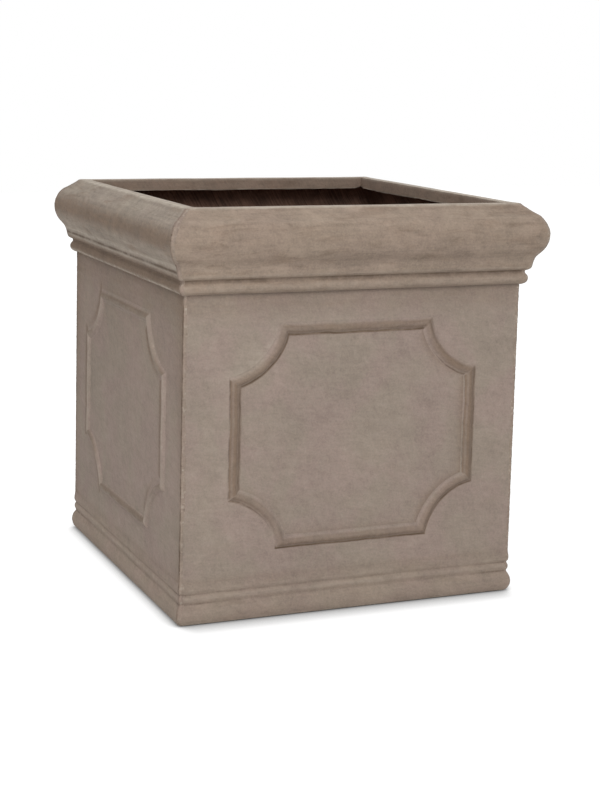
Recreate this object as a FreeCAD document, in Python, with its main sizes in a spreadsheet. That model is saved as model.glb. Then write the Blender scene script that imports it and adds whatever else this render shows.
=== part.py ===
"""Square floor planter: four mitred cast sides, each a cornice, wall and plinth, round a drained floor.

Millimetres, +Z up, origin on the ground under the planter's middle. Every side is drawn once, as the side
that faces +X, and turned about Z into its place.
"""
import FreeCAD, Part
import math
import os
import Sketcher

# Driving sizes: name, value, what it measures
SIZES = [
    ("total_height", 610, "ground to the top of the rim"),
    ("body_width", 546, "across the outer faces of two opposite walls"),
    ("shell_thickness", 9, "cast shell of walls and cornice"),
    ("bond_gap", 0.3, "line of bonding paste at mitres and laps"),
    ("rim_projection", 32, "nose of the roll out from the wall face"),
    ("roll_radius", 43, "roll of the cornice"),
    ("roll_drop", 47, "top of the rim down to the middle of the roll"),
    ("roll_lower_angle", 50, "degrees of the roll below its middle"),
    ("roll_upper_angle", 44, "degrees of the roll above its middle"),
    ("ogee_radius", 100, "hollow curve from the roll up to the top edge"),
    ("top_edge_width", 17.5, "flat top of the rim"),
    ("lip_inset", 11, "lip in from the inner wall face"),
    ("lip_depth", 19, "lip down from the top of the rim"),
    ("band_height", 14, "plain band under the roll"),
    ("band_round", 8, "rounded lower edge of the band"),
    ("neck_projection", 6, "groove floor between band and bead, out from the wall face"),
    ("neck_height", 5, "groove between band and bead"),
    ("bead_radius", 9.5, "bead under the cornice"),
    ("frame_side_margin", 72.5, "wall edge to the raised frame"),
    ("frame_top_margin", 46, "lower edge of the cornice to the raised frame"),
    ("frame_base_margin", 41, "top of the plinth to the raised frame"),
    ("frame_ridge_width", 18.5, "ridge of the raised frame"),
    ("frame_ridge_height", 6, "ridge out from the wall face"),
    ("frame_ridge_round", 4.5, "rounded shoulders of the ridge"),
    ("scoop_radius", 92, "scooped corner of the frame, outer edge"),
    ("scoop_beyond", 14, "middle of the scoop out past the frame's corner"),
    ("torus_height", 32, "rounded foot of the plinth"),
    ("torus_radius", 24, "curve of the rounded foot"),
    ("lower_bead_height", 14, "bead over the foot"),
    ("lower_bead_radius", 9, "curve of that bead"),
    ("upper_bead_height", 18, "bead that runs out into the wall"),
    ("upper_bead_radius", 19, "curve of that bead"),
    ("groove_depth", 2, "grooves beside the beads, in from the wall face"),
    ("floor_level", 30, "ground to the underside of the floor"),
    ("floor_thickness", 12, "floor panel"),
    ("floor_gap", 0.5, "floor edge to the plinth"),
    ("ledge_width", 15, "ledge of the plinth under the floor"),
    ("corner_strip_leg", 22, "bonding fillet along each inner corner"),
    ("drain_diameter", 25, "drain hole"),
    ("plug_clearance", 0.3, "plug stem to the wall of the drain hole"),
    ("plug_head_diameter", 44, "plug flange on the floor"),
    ("plug_head_height", 5, "plug flange on the floor"),
    ("plug_grip_diameter", 16, "knob of the plug"),
    ("plug_grip_height", 12, "knob of the plug"),
    ("plug_tip_length", 9, "plug stem below the floor"),
    ("plug_tip_taper", 2.5, "radius lost at the tip of the stem"),
]

# Levels and half widths that several pieces share, as formulas of the driving sizes
WALL_FACE = "(Sizes.body_width / 2)"
WALL_INSIDE = f"({WALL_FACE} - Sizes.shell_thickness)"
PLINTH_TOP = "(Sizes.torus_height + Sizes.lower_bead_height + Sizes.upper_bead_height)"
FLOOR_TOP = "(Sizes.floor_level + Sizes.floor_thickness)"
LAP_FACE = f"({WALL_FACE} + Sizes.bond_gap)"
HALF_MOUTH = f"({WALL_INSIDE} - Sizes.lip_inset)"
HALF_RIM = f"({WALL_FACE} + Sizes.rim_projection)"
ROLL_MIDDLE = f"({HALF_RIM} - Sizes.roll_radius)"
ROLL_LEVEL = "(Sizes.total_height - Sizes.roll_drop)"
WALL_TOP = f"({ROLL_LEVEL} - Sizes.roll_radius * sin(Sizes.roll_lower_angle))"
BAND_LOW = f"({WALL_TOP} - Sizes.band_height)"
BAND_UNDERSIDE = f"({BAND_LOW} - Sizes.band_round)"
NECK_FACE = f"({WALL_FACE} + Sizes.neck_projection)"
BEAD_TOP = f"({BAND_UNDERSIDE} - Sizes.neck_height)"
BEAD_LEVEL = f"({BEAD_TOP} - sqrt(Sizes.bead_radius ^ 2 - ({NECK_FACE} - {LAP_FACE}) ^ 2))"
CORNICE_LOW = f"({BEAD_LEVEL} - Sizes.bead_radius)"
MITRE_CUT = "(Sizes.bond_gap / sqrt(2))"

# Each side and each corner is one quarter turn on from the one before it
SIDES = ("right", "back", "left", "front")
CORNERS = ("back_right", "back_left", "front_left", "front_right")
QUARTER_TURN = 90
FULL_TURN = 360
LENGTH_TOLERANCE = 1e-4
VOLUME_TOLERANCE = 1e-4
UP = FreeCAD.Vector(0, 0, 1)
ORIGIN = FreeCAD.Vector(0, 0, 0)


def make_sheet(doc):
    """Puts the driving sizes into a spreadsheet, one row each."""
    sheet = doc.addObject("Spreadsheet::Sheet", "Sizes")
    for row, (name, value, meaning) in enumerate(SIZES, start=1):
        sheet.set(f"A{row}", name)
        sheet.set(f"B{row}", str(value))
        sheet.set(f"C{row}", meaning)
        sheet.setAlias(f"B{row}", name)
    doc.recompute()
    return sheet


def turned(quarter_turns):
    """Placement that turns a piece about the planter's upright axis."""
    return FreeCAD.Placement(ORIGIN, FreeCAD.Rotation(UP, quarter_turns * QUARTER_TURN))


def new_body(doc, label):
    body = doc.addObject("PartDesign::Body", label)
    body.Label = label
    return body


def origin_feature(body, role):
    return next(feature for feature in body.Origin.OriginFeatures if feature.Role == role)


def new_sketch(body, name, plane, offset=None):
    """Sketch on one of the body's origin planes, moved along the plane's normal by a formula."""
    sketch = body.newObject("Sketcher::SketchObject", name)
    sketch.AttachmentSupport = [(origin_feature(body, plane), "")]
    sketch.MapMode = "FlatFace"
    if offset:
        sketch.setExpression("AttachmentOffset.Base.z", offset)
    return sketch


def number(sketch, formula):
    return float(sketch.evalExpression(formula))


def arc_between(start, end, radius, anticlockwise):
    """The short arc of a radius from start to end."""
    chord = end.sub(start)
    middle = start.add(end).multiply(0.5)
    rise = math.sqrt(radius ** 2 - (chord.Length / 2) ** 2)
    side = 1 if anticlockwise else -1
    across = FreeCAD.Vector(-chord.y, chord.x, 0).normalize().multiply(side)
    centre = middle.add(FreeCAD.Vector(across).multiply(rise))
    crown = centre.add(FreeCAD.Vector(across).multiply(-radius))
    return Part.Arc(start, crown, end)


def pin_corner(sketch, edge, end, formulas):
    """Ties one end of an edge to its two coordinates."""
    for kind, axis, formula in (("DistanceX", -2, formulas[0]), ("DistanceY", -1, formulas[1])):
        if formula == "0":
            sketch.addConstraint(Sketcher.Constraint("PointOnObject", edge, end, axis))
            continue
        value = number(sketch, formula)
        index = sketch.addConstraint(Sketcher.Constraint(kind, -1, 1, edge, end, value))
        sketch.setExpression(f"Constraints[{index}]", formula)


def add_outline(sketch, corners):
    """Closed outline. A corner is (x, y), or (x, y, radius, turn) where an arc leaves it."""
    points = [FreeCAD.Vector(number(sketch, c[0]), number(sketch, c[1]), 0) for c in corners]
    ends = []
    for index, corner in enumerate(corners):
        start = points[index]
        end = points[(index + 1) % len(points)]
        if len(corner) == 2:
            edge = sketch.addGeometry(Part.LineSegment(start, end), False)
            ends.append((edge, 1, 2))
            continue
        anticlockwise = corner[3] == "anticlockwise"
        arc = arc_between(start, end, number(sketch, corner[2]), anticlockwise)
        edge = sketch.addGeometry(arc, False)
        radius = sketch.addConstraint(Sketcher.Constraint("Radius", edge, number(sketch, corner[2])))
        sketch.setExpression(f"Constraints[{radius}]", corner[2])
        ends.append((edge, 1, 2) if anticlockwise else (edge, 2, 1))
    for index, corner in enumerate(corners):
        edge, start, _ = ends[index]
        before, _, finish = ends[index - 1]
        sketch.addConstraint(Sketcher.Constraint("Coincident", before, finish, edge, start))
        pin_corner(sketch, edge, start, corner[:2])


def cut_mitres(doc, body):
    """Cuts both ends of a length at 45 degrees, half a bond line short of the corner's diagonal plane."""
    inner = "(Sizes.body_width / 4)"
    outer = "Sizes.body_width"
    sketch = new_sketch(body, "mitre", "XY_Plane")
    add_outline(sketch, [
        (inner, f"{inner} - {MITRE_CUT}"),
        (outer, f"{outer} - {MITRE_CUT}"),
        (inner, f"{outer} - {MITRE_CUT}"),
    ])
    pocket = body.newObject("PartDesign::Pocket", "mitre_cut")
    pocket.Profile = sketch
    pocket.Type = "ThroughAll"
    pocket.SideType = "Symmetric"
    doc.recompute()
    mirror = body.newObject("PartDesign::Mirrored", "other_mitre")
    mirror.Originals = [pocket]
    mirror.MirrorPlane = (origin_feature(body, "XZ_Plane"), [""])
    body.Tip = mirror
    doc.recompute()


def mitred_length(doc, label, corners):
    """A moulding of the outlined section along one side of the planter, mitred at both ends."""
    body = new_body(doc, label)
    section = new_sketch(body, "section", "XZ_Plane")
    add_outline(section, corners)
    length = body.newObject("PartDesign::Pad", "length")
    length.Profile = section
    length.SideType = "Symmetric"
    length.setExpression("Length", f"2 * {HALF_RIM}")
    doc.recompute()
    cut_mitres(doc, body)
    face = Part.Face(section.Shape.Wires[0])
    reach = face.CenterOfMass.x - number(section, MITRE_CUT)
    expected = 2 * face.Area * reach
    if not math.isclose(body.Shape.Volume, expected, rel_tol=VOLUME_TOLERANCE):
        raise ValueError(f"{label}: mitres left {body.Shape.Volume:.0f} cubic mm of {expected:.0f}")
    return body


def make_cornice(doc, side):
    """Rim length: bead, neck, band, roll and ogee outside, lip inside, hollow behind the roll."""
    hollow_radius = "(Sizes.roll_radius - Sizes.shell_thickness)"
    flange_top = f"({WALL_TOP} + Sizes.shell_thickness)"
    lip_low = "Sizes.total_height - Sizes.lip_depth"
    lip_back = f"({HALF_MOUTH} + Sizes.shell_thickness)"
    hollow_top = f"{ROLL_LEVEL} + sqrt({hollow_radius} ^ 2 - ({lip_back} - {ROLL_MIDDLE}) ^ 2)"
    hollow_low = f"{ROLL_MIDDLE} + sqrt({hollow_radius} ^ 2 - ({ROLL_LEVEL} - {flange_top}) ^ 2)"
    roll_start = f"{ROLL_MIDDLE} + Sizes.roll_radius * cos(Sizes.roll_lower_angle)"
    roll_end = f"{ROLL_MIDDLE} + Sizes.roll_radius * cos(Sizes.roll_upper_angle)"
    roll_end_level = f"{ROLL_LEVEL} + Sizes.roll_radius * sin(Sizes.roll_upper_angle)"
    body = mitred_length(doc, f"cornice_{side}", [
        (LAP_FACE, CORNICE_LOW, "Sizes.bead_radius", "anticlockwise"),
        (NECK_FACE, BEAD_TOP),
        (NECK_FACE, BAND_UNDERSIDE, "Sizes.band_round", "anticlockwise"),
        (f"{NECK_FACE} + Sizes.band_round", BAND_LOW),
        (roll_start, WALL_TOP, "Sizes.roll_radius", "anticlockwise"),
        (roll_end, roll_end_level, "Sizes.ogee_radius", "clockwise"),
        (f"{HALF_MOUTH} + Sizes.top_edge_width", "Sizes.total_height"),
        (HALF_MOUTH, "Sizes.total_height"),
        (HALF_MOUTH, lip_low),
        (lip_back, lip_low),
        (lip_back, hollow_top, hollow_radius, "clockwise"),
        (hollow_low, flange_top),
        (WALL_INSIDE, flange_top),
        (WALL_INSIDE, WALL_TOP),
        (LAP_FACE, WALL_TOP),
    ])
    body.Placement = turned(SIDES.index(side))
    return body


def add_frame_ridge(doc, body):
    """Raised frame on the wall's face: straight runs, and corners scooped about a point past each corner."""
    half_width = f"({WALL_FACE} - Sizes.frame_side_margin)"
    top = f"({CORNICE_LOW} - Sizes.frame_top_margin)"
    base = f"({PLINTH_TOP} + Sizes.frame_base_margin)"
    width = "Sizes.frame_ridge_width"
    outer_radius = "Sizes.scoop_radius"
    inner_radius = f"({outer_radius} + {width})"
    scoop_side = f"({half_width} + Sizes.scoop_beyond)"
    scoop_top = f"({top} + Sizes.scoop_beyond)"
    scoop_base = f"({base} - Sizes.scoop_beyond)"
    outer_reach = f"sqrt({outer_radius} ^ 2 - Sizes.scoop_beyond ^ 2)"
    inner_reach = f"sqrt({inner_radius} ^ 2 - ({width} + Sizes.scoop_beyond) ^ 2)"
    sketch = new_sketch(body, "frame_outline", "YZ_Plane", WALL_FACE)
    add_outline(sketch, [
        ("0", base),
        (f"{scoop_side} - {outer_reach}", base, outer_radius, "clockwise"),
        (half_width, f"{scoop_base} + {outer_reach}"),
        (half_width, f"{scoop_top} - {outer_reach}", outer_radius, "clockwise"),
        (f"{scoop_side} - {outer_reach}", top),
        ("0", top),
        ("0", f"{top} - {width}"),
        (f"{scoop_side} - {inner_reach}", f"{top} - {width}", inner_radius, "anticlockwise"),
        (f"{half_width} - {width}", f"{scoop_top} - {inner_reach}"),
        (f"{half_width} - {width}", f"{scoop_base} + {inner_reach}", inner_radius, "anticlockwise"),
        (f"{scoop_side} - {inner_reach}", f"{base} + {width}"),
        ("0", f"{base} + {width}"),
    ])
    ridge = body.newObject("PartDesign::Pad", "frame_ridge")
    ridge.Profile = sketch
    ridge.setExpression("Length", "Sizes.frame_ridge_height")
    doc.recompute()
    mirror = body.newObject("PartDesign::Mirrored", "other_half")
    mirror.Originals = [ridge]
    mirror.MirrorPlane = (origin_feature(body, "XZ_Plane"), [""])
    body.Tip = mirror
    doc.recompute()
    crest = mirror.Shape.BoundBox.XMax
    shoulders = [f"Edge{index}" for index, edge in enumerate(mirror.Shape.Edges, start=1)
                 if math.isclose(edge.BoundBox.XMin, crest, abs_tol=LENGTH_TOLERANCE)]
    fillet = body.newObject("PartDesign::Fillet", "ridge_shoulders")
    fillet.Base = (mirror, shoulders)
    fillet.setExpression("Radius", "Sizes.frame_ridge_round")
    body.Tip = fillet
    doc.recompute()


def make_wall(doc, side):
    """Cast panel from the plinth up behind the cornice's lap, with the raised frame on its face."""
    body = mitred_length(doc, f"wall_{side}", [
        (WALL_INSIDE, PLINTH_TOP),
        (WALL_FACE, PLINTH_TOP),
        (WALL_FACE, WALL_TOP),
        (WALL_INSIDE, WALL_TOP),
    ])
    add_frame_ridge(doc, body)
    body.Placement = turned(SIDES.index(side))
    return body


def make_plinth(doc, side):
    """Base length: rounded foot and two beads outside, ledge for the floor inside."""
    groove = f"({WALL_FACE} - Sizes.groove_depth)"
    ledge_edge = f"({WALL_INSIDE} - Sizes.ledge_width)"
    lower_bead_top = "(Sizes.torus_height + Sizes.lower_bead_height)"
    body = mitred_length(doc, f"plinth_{side}", [
        (ledge_edge, "0"),
        (WALL_FACE, "0", "Sizes.torus_radius", "anticlockwise"),
        (groove, "Sizes.torus_height", "Sizes.lower_bead_radius", "anticlockwise"),
        (groove, lower_bead_top, "Sizes.upper_bead_radius", "anticlockwise"),
        (WALL_FACE, PLINTH_TOP),
        (WALL_INSIDE, PLINTH_TOP),
        (WALL_INSIDE, "Sizes.floor_level"),
        (ledge_edge, "Sizes.floor_level"),
    ])
    body.Placement = turned(SIDES.index(side))
    return body


def make_floor(doc):
    """Square panel on the plinth's ledge with the drain hole in its middle."""
    width = f"(2 * ({WALL_INSIDE} - Sizes.floor_gap))"
    panel = doc.addObject("Part::Box", "floor_sheet")
    for size in ("Length", "Width"):
        panel.setExpression(size, width)
    panel.setExpression("Height", "Sizes.floor_thickness")
    for axis in ("x", "y"):
        panel.setExpression(f"Placement.Base.{axis}", f"-{width} / 2")
    panel.setExpression("Placement.Base.z", "Sizes.floor_level")
    drain = doc.addObject("Part::Cylinder", "drain_hole")
    drain.setExpression("Radius", "Sizes.drain_diameter / 2")
    drain.setExpression("Height", FLOOR_TOP)
    floor = doc.addObject("Part::Cut", "floor_panel")
    floor.Base = panel
    floor.Tool = drain
    floor.Label = "floor_panel"
    doc.recompute()
    return floor


def make_corner_strip(doc, corner):
    """Three-sided bonding fillet up an inner corner, from the floor to the top of the walls."""
    body = new_body(doc, f"corner_strip_{corner}")
    back = f"({WALL_INSIDE} - Sizes.bond_gap)"
    front = f"({back} - Sizes.corner_strip_leg)"
    section = new_sketch(body, "section", "XY_Plane", FLOOR_TOP)
    add_outline(section, [(back, front), (back, back), (front, back)])
    strip = body.newObject("PartDesign::Pad", "strip")
    strip.Profile = section
    strip.setExpression("Length", f"{WALL_TOP} - {FLOOR_TOP}")
    body.Placement = turned(CORNERS.index(corner))
    doc.recompute()
    return body


def make_drain_plug(doc):
    """Rubber plug: flange on the floor, knob to pull it by, tapered stem through the drain hole."""
    body = new_body(doc, "drain_plug")
    stem = "(Sizes.drain_diameter / 2 - Sizes.plug_clearance)"
    tip_level = "(Sizes.floor_level - Sizes.plug_tip_length)"
    head_top = f"({FLOOR_TOP} + Sizes.plug_head_height)"
    grip_top = f"({head_top} + Sizes.plug_grip_height)"
    section = new_sketch(body, "section", "XZ_Plane")
    add_outline(section, [
        ("0", tip_level),
        (f"{stem} - Sizes.plug_tip_taper", tip_level),
        (stem, "Sizes.floor_level"),
        (stem, FLOOR_TOP),
        ("Sizes.plug_head_diameter / 2", FLOOR_TOP),
        ("Sizes.plug_head_diameter / 2", head_top),
        ("Sizes.plug_grip_diameter / 2", head_top),
        ("Sizes.plug_grip_diameter / 2", grip_top),
        ("0", grip_top),
    ])
    turning = body.newObject("PartDesign::Revolution", "turning")
    turning.Profile = section
    turning.ReferenceAxis = (origin_feature(body, "Z_Axis"), [""])
    turning.Angle = FULL_TURN
    doc.recompute()
    return body


def check(doc, pieces):
    """Stops if any feature failed or any piece has no sound solid."""
    failed = [item.Label for item in doc.Objects if {"Invalid", "Error"} & set(item.State)]
    if failed:
        raise ValueError(f"features that failed: {failed}")
    for piece in pieces:
        if piece.Shape.isNull() or not piece.Shape.isValid() or len(piece.Shape.Solids) != 1:
            raise ValueError(f"{piece.Label} is not one sound solid")


def main():
    doc = FreeCAD.newDocument("square_planter")
    make_sheet(doc)
    pieces = []
    for side in SIDES:
        pieces.append(make_cornice(doc, side))
        pieces.append(make_wall(doc, side))
        pieces.append(make_plinth(doc, side))
    pieces.append(make_floor(doc))
    for corner in CORNERS:
        pieces.append(make_corner_strip(doc, corner))
    pieces.append(make_drain_plug(doc))
    doc.recompute()
    check(doc, pieces)
    os.makedirs("parts", exist_ok=True)
    for piece in pieces:
        piece.Shape.exportStep(f"parts/{piece.Label}.step")
        print(f"{piece.Label}: {piece.Shape.Volume:.0f} cubic mm")


main()
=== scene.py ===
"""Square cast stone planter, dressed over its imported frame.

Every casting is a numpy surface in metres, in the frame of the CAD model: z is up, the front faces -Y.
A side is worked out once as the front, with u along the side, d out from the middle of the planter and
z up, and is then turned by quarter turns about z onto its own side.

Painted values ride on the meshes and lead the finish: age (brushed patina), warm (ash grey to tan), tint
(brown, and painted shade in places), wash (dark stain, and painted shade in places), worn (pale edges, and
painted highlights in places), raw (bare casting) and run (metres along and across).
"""
import math

import bpy
import numpy as np
from mathutils import Matrix, Vector


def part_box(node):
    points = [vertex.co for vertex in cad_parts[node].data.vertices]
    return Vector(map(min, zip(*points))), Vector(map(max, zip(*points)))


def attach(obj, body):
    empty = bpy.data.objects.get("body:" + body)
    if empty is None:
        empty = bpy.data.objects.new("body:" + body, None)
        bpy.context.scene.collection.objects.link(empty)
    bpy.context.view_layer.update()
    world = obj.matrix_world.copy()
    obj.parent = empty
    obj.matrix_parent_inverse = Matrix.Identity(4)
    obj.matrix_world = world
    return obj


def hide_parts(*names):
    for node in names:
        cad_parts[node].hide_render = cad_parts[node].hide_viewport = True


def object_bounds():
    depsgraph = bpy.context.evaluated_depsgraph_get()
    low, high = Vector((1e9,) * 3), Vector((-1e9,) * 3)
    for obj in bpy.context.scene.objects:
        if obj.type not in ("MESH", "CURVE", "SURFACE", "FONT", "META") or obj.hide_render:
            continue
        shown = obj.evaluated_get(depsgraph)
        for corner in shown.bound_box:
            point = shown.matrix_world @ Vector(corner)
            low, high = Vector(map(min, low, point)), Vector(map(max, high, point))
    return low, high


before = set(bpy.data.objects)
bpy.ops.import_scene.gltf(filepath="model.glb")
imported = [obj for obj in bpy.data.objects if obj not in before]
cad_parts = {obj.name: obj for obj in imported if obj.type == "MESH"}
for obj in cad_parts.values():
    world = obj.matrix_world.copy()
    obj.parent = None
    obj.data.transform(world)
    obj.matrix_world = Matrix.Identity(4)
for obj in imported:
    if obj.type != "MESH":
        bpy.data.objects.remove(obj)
cad_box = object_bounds()

# Sides and corners, each one quarter turn on from the one before it
SIDES = ("front", "right", "back", "left")
FLANKS = ("right", "left")
CORNERS = ("front_right", "back_right", "back_left", "front_left")

# Driving sizes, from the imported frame
TOP = cad_box[1].z
REACH = cad_box[1].x
WALL_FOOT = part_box("plinth_front")[1].z
WALL_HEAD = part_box("wall_front")[1].z
FLOOR_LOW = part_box("floor_panel")[0].z
FLOOR_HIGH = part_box("floor_panel")[1].z
FLOOR_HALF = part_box("floor_panel")[1].x

# Walls
BODY = 0.273
SHELL = 0.009
BOND_GAP = 0.0003
MITRE_CUT = BOND_GAP / math.sqrt(2)
INSIDE = BODY - SHELL

# Cornice
BEAD_RADIUS = 0.0095
BEAD_HIGH = TOP - 0.11454
NECK = BODY + 0.006
COVE_RADIUS = 0.008
COVE_HIGH = TOP - 0.09394
ROLL_RADIUS = 0.043
ROLL_OUT = REACH - ROLL_RADIUS
ROLL_HIGH = TOP - 0.047
ROLL_LOW_TURN = -50.0
ROLL_TOP_TURN = 44.0
OGEE_RADIUS = 0.100
CREST = 0.2705
LIP_FACE = 0.253
LIP_BACK = 0.262
LIP_DEPTH = 0.0205
HOLLOW_RADIUS = 0.034

# Wandering lower edge of the lip, and the nick where two lips meet
LIP_EDGE = (0.0060, 0.0075)
LIP_DRIFT = 0.0016
LIP_RIPPLE = 0.0008
NICK_DEEP = 0.0050
NICK_WIDE = 0.009

# Raised frame on each wall
FRAME_HALF = 0.2005
FRAME_LOW = 0.105
FRAME_HIGH = 0.43996
RIDGE_WIDTH = 0.0168
RIDGE_HIGH = 0.0052
RIDGE_FULLNESS = 1.5
RIDGE_APRON = 0.0014
RIDGE_DENT = 0.28
SCOOP_BEYOND = 0.014
SCOOP_RADIUS = 0.092

# Plinth
PLINTH_BACK = 0.249
PLINTH_GROOVE = 0.271
TORUS_TOP = 0.032
BEAD_GROOVE = 0.046
TORUS_RADIUS = 0.024
LOWER_BEAD_RADIUS = 0.009
BEAD_SWELL = 0.0014
SWELL_CROWN = 0.4

# Floor, fillets and drain plug
DRAIN_RADIUS = 0.0125
FLOOR_ROUGH = 0.0006
DRAIN_EASE = 0.0008
DRAIN_SMOOTH = 0.02
FILLET_LEG = 0.022
FILLET_HOLLOW = 0.0022
PLUG_STEM = 0.0122
PLUG_TIP = 0.0097
PLUG_HEAD = 0.022
PLUG_HEAD_THICK = 0.005
PLUG_GRIP = 0.008
PLUG_SOFT = 0.0006
PLUG_HEART = 0.0002
FLUTES = 10
FLUTE_SHARE = 0.045
FLUTE_START = 0.001
FLUTE_EASE = 0.002

# Sections: the step between their dense points, and the softness of their edges
DENSE = 0.0005
CORNICE_SOFT = 0.0010
EAVES_REACH = 0.011
EAVES_SOFT = 0.0042
PLINTH_SOFT = 0.0024
PLINTH_HEAD_REACH = 0.0085
SHARP_EDGE = 0.00002
SHARP_ANGLE = 50.0
BEND_SPAN = 0.0013

# Corners rounded in plan: their radii, and the shares of a radius on the plinth's parts
CORNICE_CORNER = 0.0035
WALL_CORNER = 0.0026
PLINTH_CORNER = 0.0032
TORUS_ROUND = 2.4
GROOVE_ROUND = 1.3
HEAD_ROUND = 0.8

# Waves that draw the faces in, from nothing at a true corner
TRUE_CORNER = 0.020
RIM_WAVE = 0.00055
BASE_WAVE = 0.00035
WALL_WAVE = 0.0005
BACK_ROUGH = 0.0011
BACK_ROUGH_HALF = 0.24
PLINTH_CALM = 0.012
WALL_CALM = 0.03

# Seam filler
SEAM_HALF = 0.0048
SEAM_HALF_RIM = 0.0050
SEAM_FILM = 0.00022
SEAM_CROWN = 0.0006
SEAM_EDGE = 0.00012
SEAM_SUNK = 0.0011
SEAM_END = 0.02
SEAM_CLEAR = 0.0001
STAIN_RISE = 0.0016
CRUMB_FALL = 0.003

# Points of the grids: on the frame, its ridge, the seams and the inner pieces, and to a metre of section
RUN_POINTS = 44
SCOOP_POINTS = 78
SIDE_POINTS = 32
TOP_RUN_SHARE = 0.56
SIDE_RUN_SHARE = 0.50
RIDGE_POINTS = 33
SWELL_POINTS = 24
SEAM_POINTS = 900
SEAM_WALL_POINTS = 60
SEAM_ACROSS = 25
FLOOR_POINTS = 160
FILLET_ROWS = 120
FILLET_FACE_POINTS = 15
FILLET_LEG_POINTS = 5
PLUG_POINTS = 96
CORNICE_EVEN = 260.0
PLINTH_EVEN = 300.0
BEND_SPREAD = 0.9
CAST_STEP = 0.006
CAST_HALF = 0.28
MITRE_STEPS = np.array([0, 0.3, 0.7, 1.2, 1.8, 2.5, 3.4, 4.6, 6.5, 9.5, 14.0, 19.0]) / 1000

# Paint of the mitred lengths; a flank line is its drop below the top, its width, its worn (painted highlight
# and wear) and its wash (painted shade and wash)
WASH_BEND = 0.0030
WORN_BEND = 0.0034
SEAM_SOAK = 0.0011
# Belt round the middle of the roll and band under it: brown tint that is partly painted shade
BELT_HIGH = ROLL_HIGH + 0.004
BELT_WIDE = 0.017
BAND_HIGH = ROLL_HIGH - 0.046
BAND_FADE = 0.006
BAND_BROWN_AND_SHADE = 1.50
# Wear on the flank lengths, raised as painted highlight on their shaded faces
FLANK_WEAR_AND_HIGHLIGHT = 2.0
SHARP_WEAR = 0.3
FLANK_HIGHLIGHT_AND_SHADE_LINES = ((0.0830, 0.0030, 1.10, 0.00), (0.0898, 0.0026, 0.00, 1.00), (0.0950, 0.0018, 0.80, 0.00),
               (0.1125, 0.0050, 0.00, 0.34), (0.1205, 0.0026, 1.30, 0.00))
LIP_BROWN = 0.32
LIP_RAW = 0.45
LIP_COAT = 0.004
LIP_COAT_FADE = 0.003
CREST_COAT = 0.0020
CREST_COAT_FADE = 0.0016
GROOVE_FADE = 0.045

# Paint of the walls: directions in the face, and distances in metres
WALL_AGE = 0.12
# Direction in the face of the painted shade on the front ridges, away from the light
SHADE_SIDE = np.array([0.45, -0.89])
SMEAR_SIDE = np.array([-0.71, 0.71])
FOOT_LINE = 0.0012
FOOT_FADE = 0.0011
FIELD_FADE = 0.008
PANEL_FADE = 0.012
SHADE_OFF = 0.008
SHADE_WIDE = 0.0055
EDGE_FADE = 0.022
BASE_FADE = 0.009
HEAD_LOW = FRAME_HIGH - 0.010
HEAD_RISE = 0.04
# Painted shade under the rim on the side walls: where it starts and how far it rises
UPPER_LOW = 0.20
UPPER_RISE = 0.20

# Camera, read from the photograph: place in metres, turns in degrees, shift in shares of the long side
CAMERA_PLACE = (-1.0643, -2.4671, 0.8251)
CAMERA_YAW = -21.756
CAMERA_PITCH = 7.691
CAMERA_ROLL = 1.167
CAMERA_LENS = 75.02
CAMERA_SENSOR = 36.0
CAMERA_SHIFT = (0.075, -0.150)

# Lamps, each with its place, size and power, and the stage
LAMPS = (("key_soft", (-1.40, -2.6, 2.8), 1.8, 82), ("fill_soft", (2.30, 2.2, 1.9), 2.0, 30))
LAMP_AIM = (0, 0, 0.35)
AMBIENT = 0.45
STAGE_SPAN = 14.0
STAGE_ROWS = 9
STAGE_NEAR = 0.45
STAGE_FAR = 1.00
STAGE_PALE = (0.92, 0.92, 0.92, 1)
STAGE_DIM = (0.22, 0.22, 0.22, 1)
CONTACT_SHADOW = 0.050
SHADOW_TURN = 0.02


def capped(values):
    """Values held between 0 and 1."""
    return np.clip(values, 0, 1)


def stripe(places, centre, width):
    """A soft stripe, 1 at its centre: the bell curve of the distance from it over the width."""
    return np.exp(-((places - centre) / width) ** 2)


def fade(distance, width):
    """What is left of 1 at a distance: about a third after each width."""
    return np.exp(-distance / width)


def arc(centre, radius, first, last):
    """Points on a circle, centre plus radius times cosine and sine, from one angle to another in degrees."""
    count = max(int(abs(math.radians(last - first)) * radius / DENSE), 4)
    turn = np.radians(np.linspace(first, last, count))
    return np.stack([centre[0] + radius * np.cos(turn), centre[1] + radius * np.sin(turn)], axis=1)


def arc_over(start, end, radius, side):
    """An arc from start to end; its centre is off the chord's middle to the left (1) or right (-1)."""
    start = np.array(start)
    end = np.array(end)
    chord = end - start
    half = np.linalg.norm(chord) / 2
    across = np.array([-chord[1], chord[0]]) / (2 * half)
    centre = (start + end) / 2 + side * across * math.sqrt(radius ** 2 - half ** 2)
    first = math.degrees(math.atan2(*(start - centre)[::-1]))
    last = math.degrees(math.atan2(*(end - centre)[::-1]))
    last = first + (last - first + 180) % 360 - 180
    return arc(centre, radius, first, last)


def line(start, end):
    """Evenly spaced points from start to end."""
    count = max(int(math.dist(start, end) / DENSE), 2)
    return np.linspace(start, end, count)


def lines_through(*corners):
    """The lines from each corner to the next."""
    return [line(start, end) for start, end in zip(corners[:-1], corners[1:])]


def bell(values, width):
    """A bell-shaped average round a closed row of values; the width is in steps of the row."""
    turns = np.fft.fftfreq(len(values))
    weights = np.exp(-2 * (np.pi * turns * width) ** 2)
    return np.real(np.fft.ifft(np.fft.fft(values, axis=0) * weights[:, None], axis=0))


def bends(points):
    """Curvature of a closed row of points, positive where it bulges: turn of the heading over the step."""
    ahead = np.roll(points, -1, axis=0) - points
    behind = points - np.roll(points, 1, axis=0)
    turn = np.arctan2(behind[:, 0] * ahead[:, 1] - behind[:, 1] * ahead[:, 0], (ahead * behind).sum(axis=1))
    return turn / (0.5 * (np.linalg.norm(ahead, axis=1) + np.linalg.norm(behind, axis=1)) + 1e-9)


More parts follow.
